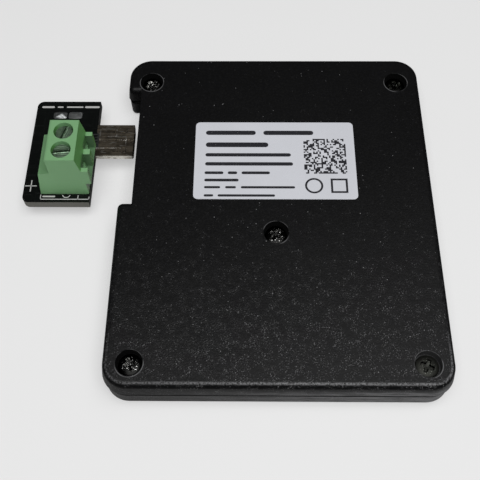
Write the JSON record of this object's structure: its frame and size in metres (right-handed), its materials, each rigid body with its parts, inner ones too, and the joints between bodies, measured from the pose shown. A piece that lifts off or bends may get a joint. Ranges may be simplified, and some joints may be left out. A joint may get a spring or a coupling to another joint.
{
  "type": "bluetooth sensor beacon",
  "caption": "Flat black sensor beacon in a screwed case with a label on its back cover, and a plug-in circuit board that carries a green screw terminal.",
  "frame": {"origin": "middle of the case's outline on its front face, which lies on the table", "axes": "+Z out through the back cover, +X from the adapter towards the case, +Y along the notched side towards the notch"},
  "size_m": [0.0709, 0.0644, 0.0145],
  "materials": {
    "case_black": "fine grain",
    "case_screw_steel": "blackened",
    "label_white": "printed film",
    "beacon_board": "solder mask",
    "adapter_board": "solder mask",
    "cell_steel": "bright",
    "spring_steel": "satin",
    "contact_gold": "gold plated",
    "chip_black": "moulded",
    "shield_tin": "tinned",
    "ceramic": "fired",
    "light_clear": "clear",
    "plug_steel": "nickel plated",
    "insulator_black": "moulded",
    "terminal_green": "moulded",
    "clamp_steel": "zinc plated",
    "solder_tin": "bright"
  },
  "bodies": {
    "case": {"front_shell": "case_black", "back_cover": "case_black", "case_screws": "case_screw_steel", "back_label": "label_white", "main_board": "beacon_board", "coin_cell": "cell_steel", "cell_clip": "spring_steel", "cell_contact": "contact_gold", "usb_socket_shell": "shield_tin", "usb_socket_tongue": "insulator_black", "usb_socket_contacts": "contact_gold", "radio_board": "beacon_board", "radio_chip": "chip_black", "radio_antenna": "ceramic", "radio_shield": "shield_tin", "sensor_chip": "chip_black", "regulator": "chip_black", "crystal": "shield_tin", "board_passives": "ceramic", "tact_switch": "chip_black", "status_led": "light_clear", "light_pipe": "light_clear"},
    "button": {"front_button": "case_black", "switch_stem": "chip_black"},
    "adapter": {"module_board": "adapter_board", "plug_shell": "plug_steel", "plug_insulator": "insulator_black", "plug_contacts": "contact_gold", "plug_latches": "spring_steel", "solder_pads": "solder_tin", "terminal_housing": "terminal_green", "terminal_contacts": "clamp_steel", "solder_joints": "solder_tin"},
    "screw_near": {"terminal_screw_near": "clamp_steel"},
    "cage_near": {"wire_cage_near": "clamp_steel"},
    "screw_far": {"terminal_screw_far": "clamp_steel"},
    "cage_far": {"wire_cage_far": "clamp_steel"}
  },
  "joints": [
    {"name": "adapter_plugs_in", "type": "slide", "parent": "case", "child": "adapter", "axis": [1, 0, 0], "range_m": [0, 0.00766]},
    {"name": "button_presses", "type": "slide", "parent": "case", "child": "button", "axis": [0, 0, 1], "range_m": [0, 0.0002], "stiffness_N_per_m": 2000},
    {"name": "near_screw_turns", "type": "hinge", "parent": "adapter", "child": "screw_near", "pos_m": [-0.03538, 0.00579, 0.0132], "axis": [0, 0, -1], "range_deg": [0, 1440]},
    {"name": "near_cage_rises", "type": "slide", "parent": "adapter", "child": "cage_near", "axis": [0, 0, 1], "range_m": [0, 0.0016]},
    {"name": "far_screw_turns", "type": "hinge", "parent": "adapter", "child": "screw_far", "pos_m": [-0.03538, 0.00961, 0.0132], "axis": [0, 0, -1], "range_deg": [0, 1440]},
    {"name": "far_cage_rises", "type": "slide", "parent": "adapter", "child": "cage_far", "axis": [0, 0, 1], "range_m": [0, 0.0016]}
  ],
  "couplings": [
    {"joint": "near_screw_turns", "follows": "near_cage_rises", "rad_per_m": 15708},
    {"joint": "far_screw_turns", "follows": "far_cage_rises", "rad_per_m": 15708}
  ]
}
